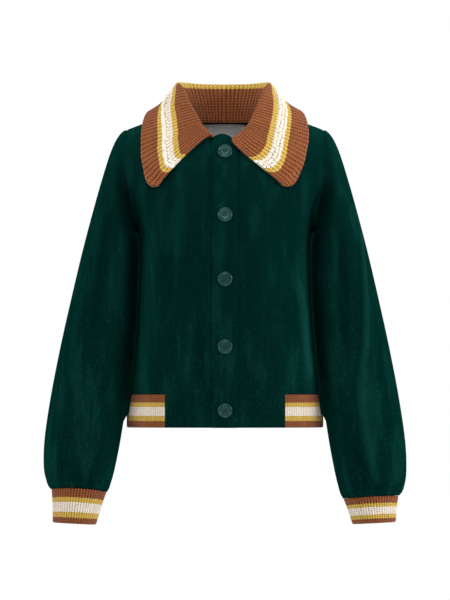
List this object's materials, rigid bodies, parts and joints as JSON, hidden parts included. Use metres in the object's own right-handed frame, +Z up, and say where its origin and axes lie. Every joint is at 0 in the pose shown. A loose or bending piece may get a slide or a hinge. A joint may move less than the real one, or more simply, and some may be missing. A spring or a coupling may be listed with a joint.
{
  "type": "plush jacket with a ribbed knit collar",
  "caption": "Short worn plush jacket, hollow: buttoned front, gathered sleeves, striped rib cuffs and waistband, and a large striped rib-knit collar.",
  "frame": {"origin": "middle of the neck opening at the height of the shoulder seams' neck ends, where the wearer's shoulders carry it", "axes": "+Z up, -Y out of the front, +X towards the viewer's right (the wearer's left)"},
  "size_m": [0.6, 0.251, 0.7302],
  "materials": {
    "plush": "matte",
    "rib_knit": "matte",
    "label_weave": "matte",
    "button_plastic": "gloss"
  },
  "bodies": {
    "root": {"front_right": "plush", "front_left": "plush", "placket": "plush", "back": "plush", "sleeve_right": "plush", "sleeve_left": "plush", "cuff_right": "rib_knit", "cuff_left": "rib_knit", "waistband_rib": "rib_knit", "collar": "rib_knit", "neck_label": "label_weave", "button_1": "button_plastic", "button_2": "button_plastic", "button_3": "button_plastic", "button_4": "button_plastic", "button_5": "button_plastic"}
  },
  "joints": []
}
